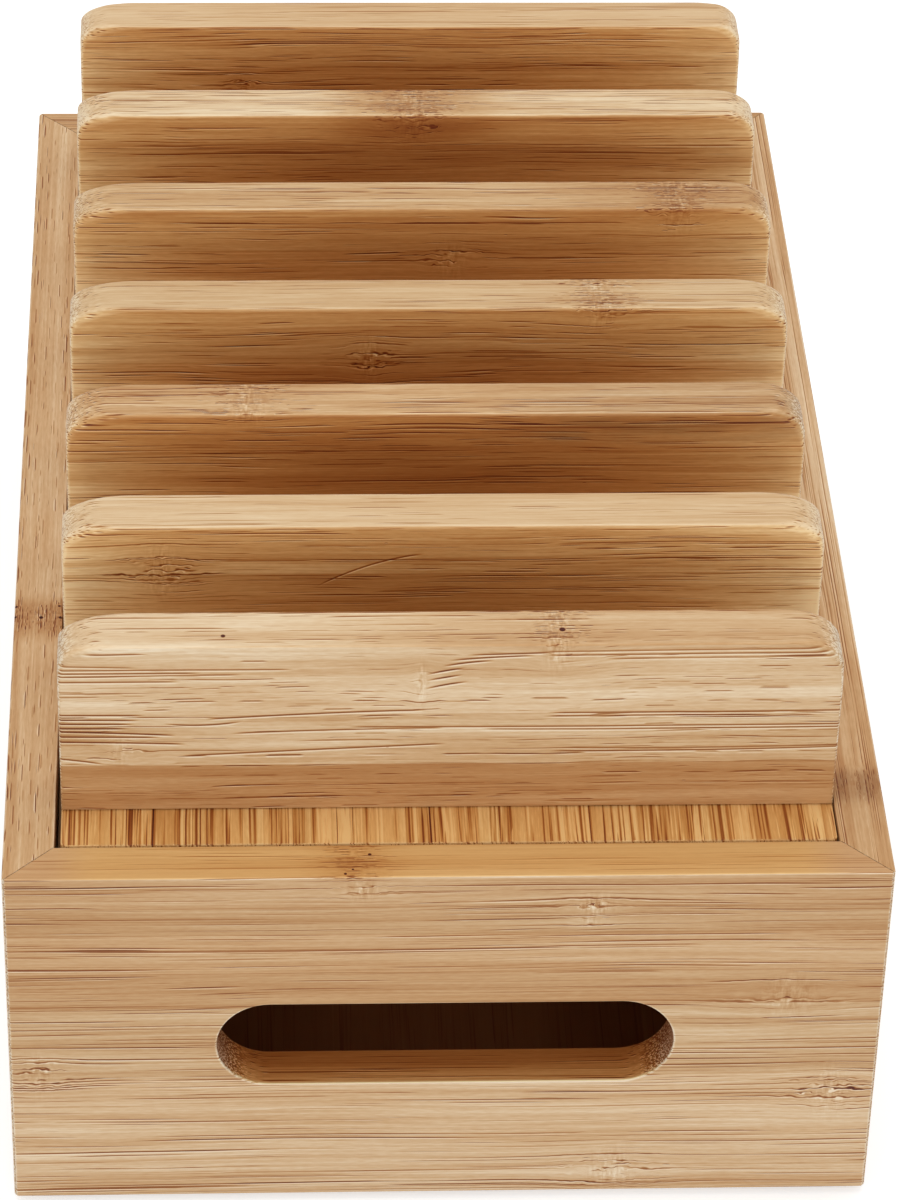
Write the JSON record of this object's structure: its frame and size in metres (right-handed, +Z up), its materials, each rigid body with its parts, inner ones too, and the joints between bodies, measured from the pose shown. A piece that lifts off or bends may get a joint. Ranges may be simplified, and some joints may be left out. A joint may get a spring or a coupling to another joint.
{
  "type": "phone and tablet organizer",
  "caption": "Bamboo desktop organizer: a mitred box with long cable slots in its ends and a lift-off lid carrying upright dividers that hold phones and tablets between them.",
  "frame": {"origin": "on the table, under the middle of the box", "axes": "+X across the box to the right as seen from the front end, +Y from the front end to the back end, +Z up"},
  "size_m": [0.175, 0.284, 0.1268],
  "materials": {
    "wall_bamboo": "pale bamboo under a satin clear coat",
    "divider_bamboo": "pale bamboo, sanded smooth, satin",
    "panel_bamboo": "golden bamboo in narrow glued strips, satin",
    "foot_rubber": "matt black rubber",
    "screw_steel": "zinc-plated steel"
  },
  "bodies": {
    "box": {"front_wall": "wall_bamboo", "back_wall": "wall_bamboo", "left_wall": "wall_bamboo", "right_wall": "wall_bamboo", "base_panel": "panel_bamboo", "ledge_left": "panel_bamboo", "ledge_right": "panel_bamboo", "foot_1": "foot_rubber", "foot_2": "foot_rubber", "foot_3": "foot_rubber", "foot_4": "foot_rubber"},
    "lid": {"lid_panel": "panel_bamboo", "divider_1": "divider_bamboo", "divider_2": "divider_bamboo", "divider_3": "divider_bamboo", "divider_4": "divider_bamboo", "divider_5": "divider_bamboo", "divider_6": "divider_bamboo", "divider_7": "divider_bamboo", "divider_screw_1a": "screw_steel", "divider_screw_1b": "screw_steel", "divider_screw_2a": "screw_steel", "divider_screw_2b": "screw_steel", "divider_screw_3a": "screw_steel", "divider_screw_3b": "screw_steel", "divider_screw_4a": "screw_steel", "divider_screw_4b": "screw_steel", "divider_screw_5a": "screw_steel", "divider_screw_5b": "screw_steel", "divider_screw_6a": "screw_steel", "divider_screw_6b": "screw_steel", "divider_screw_7a": "screw_steel", "divider_screw_7b": "screw_steel"}
  },
  "joints": [
    {"name": "lid_lift", "type": "slide", "parent": "box", "child": "lid", "axis": [0, 0, 1], "range_m": [0, 0.06]}
  ]
}
